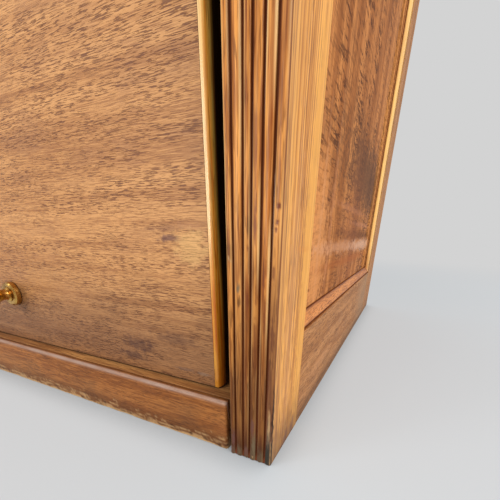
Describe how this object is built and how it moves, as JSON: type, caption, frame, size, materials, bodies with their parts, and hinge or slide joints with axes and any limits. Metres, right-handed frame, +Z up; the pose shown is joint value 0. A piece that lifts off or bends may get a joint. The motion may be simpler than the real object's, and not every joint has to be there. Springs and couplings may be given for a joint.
{
  "type": "barrister bookcase",
  "caption": "Stacked oak bookcase with frame-and-panel ends, reeded front edges and doors that lift and slide back over the shelves.",
  "frame": {"origin": "centre of the bounding box's bottom face, on the floor under the bookcase", "axes": "+X to the bookcase's right as seen from the front, +Y towards the back, +Z up"},
  "size_m": [0.888, 0.419, 1.19],
  "materials": {
    "oak_frame": "worn satin varnish over quarter-sawn oak",
    "oak_panel": "glossy old varnish over flecked oak",
    "oak_plinth": "dull worn varnish, scuffed along the floor",
    "oak_door": "satin varnish over horizontal-grain oak veneer",
    "oak_lipping": "satin varnish, rounded solid edge",
    "oak_shelf": "thin varnish",
    "plywood_back": "plain, unvarnished",
    "brass": "aged, hand-polished",
    "steel": "plain drawn",
    "glass": "clear"
  },
  "bodies": {
    "case": {"base_left_front_stile": "oak_frame", "base_left_rear_stile": "oak_frame", "base_left_bottom_rail": "oak_frame", "base_left_top_rail": "oak_frame", "base_left_end_panel": "oak_panel", "base_right_front_stile": "oak_frame", "base_right_rear_stile": "oak_frame", "base_right_bottom_rail": "oak_frame", "base_right_top_rail": "oak_frame", "base_right_end_panel": "oak_panel", "bottom_board": "oak_shelf", "base_back_panel": "plywood_back", "base_top_rail": "oak_frame", "base_guide_left": "steel", "base_guide_right": "steel", "middle_left_end_frame": "oak_frame", "middle_left_end_panel": "oak_panel", "middle_right_end_frame": "oak_frame", "middle_right_end_panel": "oak_panel", "middle_shelf": "oak_shelf", "middle_back_panel": "plywood_back", "middle_top_rail": "oak_frame", "middle_guide_left": "steel", "middle_guide_right": "steel", "upper_left_end_frame": "oak_frame", "upper_left_end_panel": "oak_panel", "upper_right_end_frame": "oak_frame", "upper_right_end_panel": "oak_panel", "upper_shelf": "oak_shelf", "upper_back_panel": "plywood_back", "upper_top_rail": "oak_frame", "upper_guide_left": "steel", "upper_guide_right": "steel", "plinth_rail": "oak_plinth", "top_board": "oak_frame"},
    "base_door_carriage": {"base_pivot_pin_left": "steel", "base_pivot_pin_right": "steel"},
    "base_door": {"base_door_panel": "oak_door", "base_door_lipping_left": "oak_lipping", "base_door_lipping_right": "oak_lipping", "base_door_knob_left": "brass", "base_door_knob_right": "brass"},
    "middle_door_carriage": {"middle_pivot_pin_left": "steel", "middle_pivot_pin_right": "steel"},
    "middle_door": {"middle_door_stile_left": "oak_frame", "middle_door_stile_right": "oak_frame", "middle_door_top_rail": "oak_frame", "middle_door_bottom_rail": "oak_frame", "middle_door_glass": "glass", "middle_door_knob_left": "brass", "middle_door_knob_right": "brass"},
    "upper_door_carriage": {"upper_pivot_pin_left": "steel", "upper_pivot_pin_right": "steel"},
    "upper_door": {"upper_door_stile_left": "oak_frame", "upper_door_stile_right": "oak_frame", "upper_door_top_rail": "oak_frame", "upper_door_bottom_rail": "oak_frame", "upper_door_glass": "glass", "upper_door_knob_left": "brass", "upper_door_knob_right": "brass"}
  },
  "joints": [
    {"name": "base_door_slide", "type": "slide", "parent": "case", "child": "base_door_carriage", "axis": [0, 1, 0], "range_m": [0, 0.2913]},
    {"name": "base_door_hinge", "type": "hinge", "parent": "base_door_carriage", "child": "base_door", "pos_m": [0, -0.1763, 0.3877], "axis": [-1, 0, 0], "range_deg": [0, 90]},
    {"name": "middle_door_slide", "type": "slide", "parent": "case", "child": "middle_door_carriage", "axis": [0, 1, 0], "range_m": [0, 0.2523]},
    {"name": "middle_door_hinge", "type": "hinge", "parent": "middle_door_carriage", "child": "middle_door", "pos_m": [0, -0.1763, 0.7577], "axis": [-1, 0, 0], "range_deg": [0, 90]},
    {"name": "upper_door_slide", "type": "slide", "parent": "case", "child": "upper_door_carriage", "axis": [0, 1, 0], "range_m": [0, 0.2523]},
    {"name": "upper_door_hinge", "type": "hinge", "parent": "upper_door_carriage", "child": "upper_door", "pos_m": [0, -0.1763, 1.1277], "axis": [-1, 0, 0], "range_deg": [0, 90]}
  ]
}
